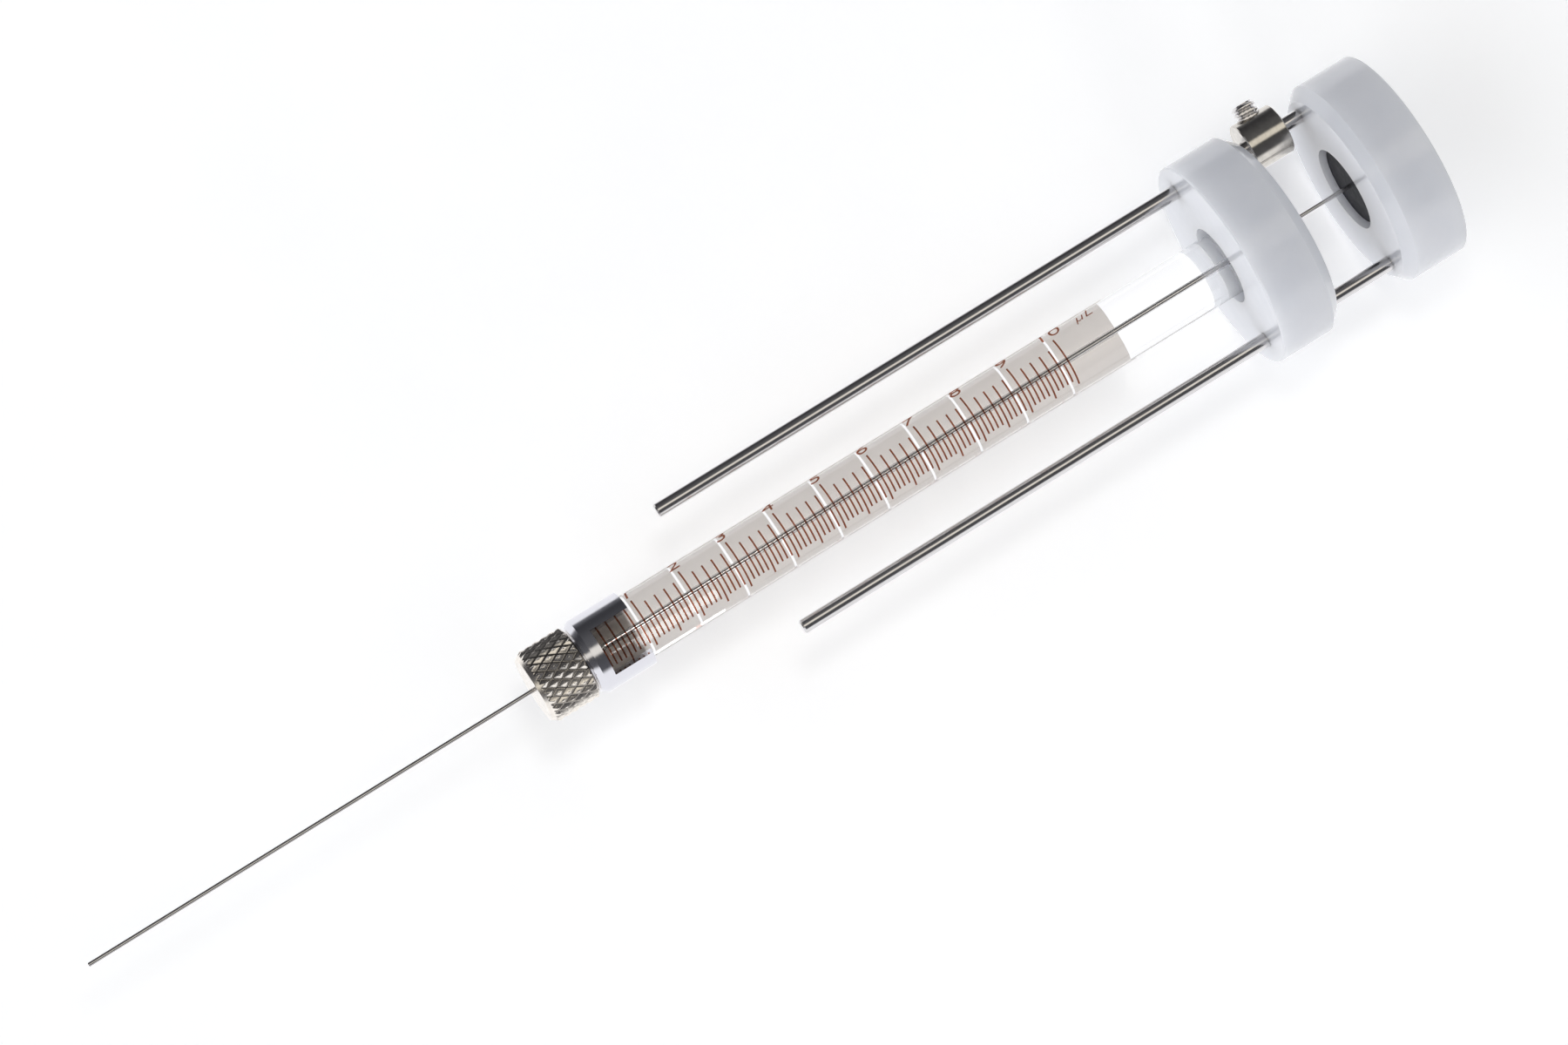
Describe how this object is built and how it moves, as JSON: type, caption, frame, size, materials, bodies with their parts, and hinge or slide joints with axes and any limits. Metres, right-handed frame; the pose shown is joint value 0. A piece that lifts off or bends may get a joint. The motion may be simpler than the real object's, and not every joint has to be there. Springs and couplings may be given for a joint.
{
  "type": "microsyringe",
  "caption": "Glass microlitre syringe with a brown scale, a knurled needle nut, a blunt steel needle, two white plates, guide rods and a stop collar.",
  "frame": {"origin": "centre of the flat back of the plunger plate, on which the syringe stands", "axes": "+Z along the bore, towards the needle's tip; -Y is the side on which the scale is read; +X is the side of the long guide rod"},
  "size_m": [0.0236, 0.0222, 0.1514],
  "materials": {
    "clear_glass": "clear fire-polished borosilicate",
    "brown_enamel": "fired brown enamel",
    "pale_enamel": "fired pale enamel",
    "bright_plate": "polished bright plating",
    "nickel_plate": "nickel plating",
    "steel": "drawn stainless steel",
    "dark_metal": "turned metal",
    "white_plastic": "satin white moulded plastic",
    "seal_plastic": "soft seal"
  },
  "bodies": {
    "barrel": {"barrel_glass": "clear_glass", "scale_marks": "brown_enamel", "scale_backing": "pale_enamel", "window_sleeve": "bright_plate", "barrel_plate": "white_plastic", "needle_seal": "seal_plastic"},
    "needle_unit": {"needle": "steel", "needle_ferrule": "steel"},
    "nut": {"needle_nut": "nickel_plate"},
    "plunger": {"plunger_wire": "steel", "plunger_button": "dark_metal", "plunger_plate": "white_plastic", "guide_rod_long": "steel", "guide_rod_short": "steel"},
    "collar": {"stop_collar": "nickel_plate"},
    "screw": {"stop_screw": "steel"}
  },
  "joints": [
    {"name": "plunger_slide", "type": "slide", "parent": "barrel", "child": "plunger", "axis": [0, 0, -1], "range_m": [-0.00115, 0.05413]},
    {"name": "needle_draw", "type": "slide", "parent": "barrel", "child": "needle_unit", "axis": [0, 0, 1], "range_m": [0, 0.004]},
    {"name": "nut_turn", "type": "hinge", "parent": "needle_unit", "child": "nut", "pos_m": [0, 0, 0.0987], "axis": [0, 0, 1], "range_deg": [0, 2880]},
    {"name": "collar_slide", "type": "slide", "parent": "plunger", "child": "collar", "axis": [0, 0, -1], "range_m": [0, 0.0022]},
    {"name": "screw_turn", "type": "hinge", "parent": "collar", "child": "screw", "pos_m": [0.0105, 0, 0.01142], "axis": [1, 0, 0], "range_deg": [0, 1080]}
  ],
  "couplings": [
    {"joint": "nut_turn", "follows": "needle_draw", "rad_per_m": 12566}
  ]
}
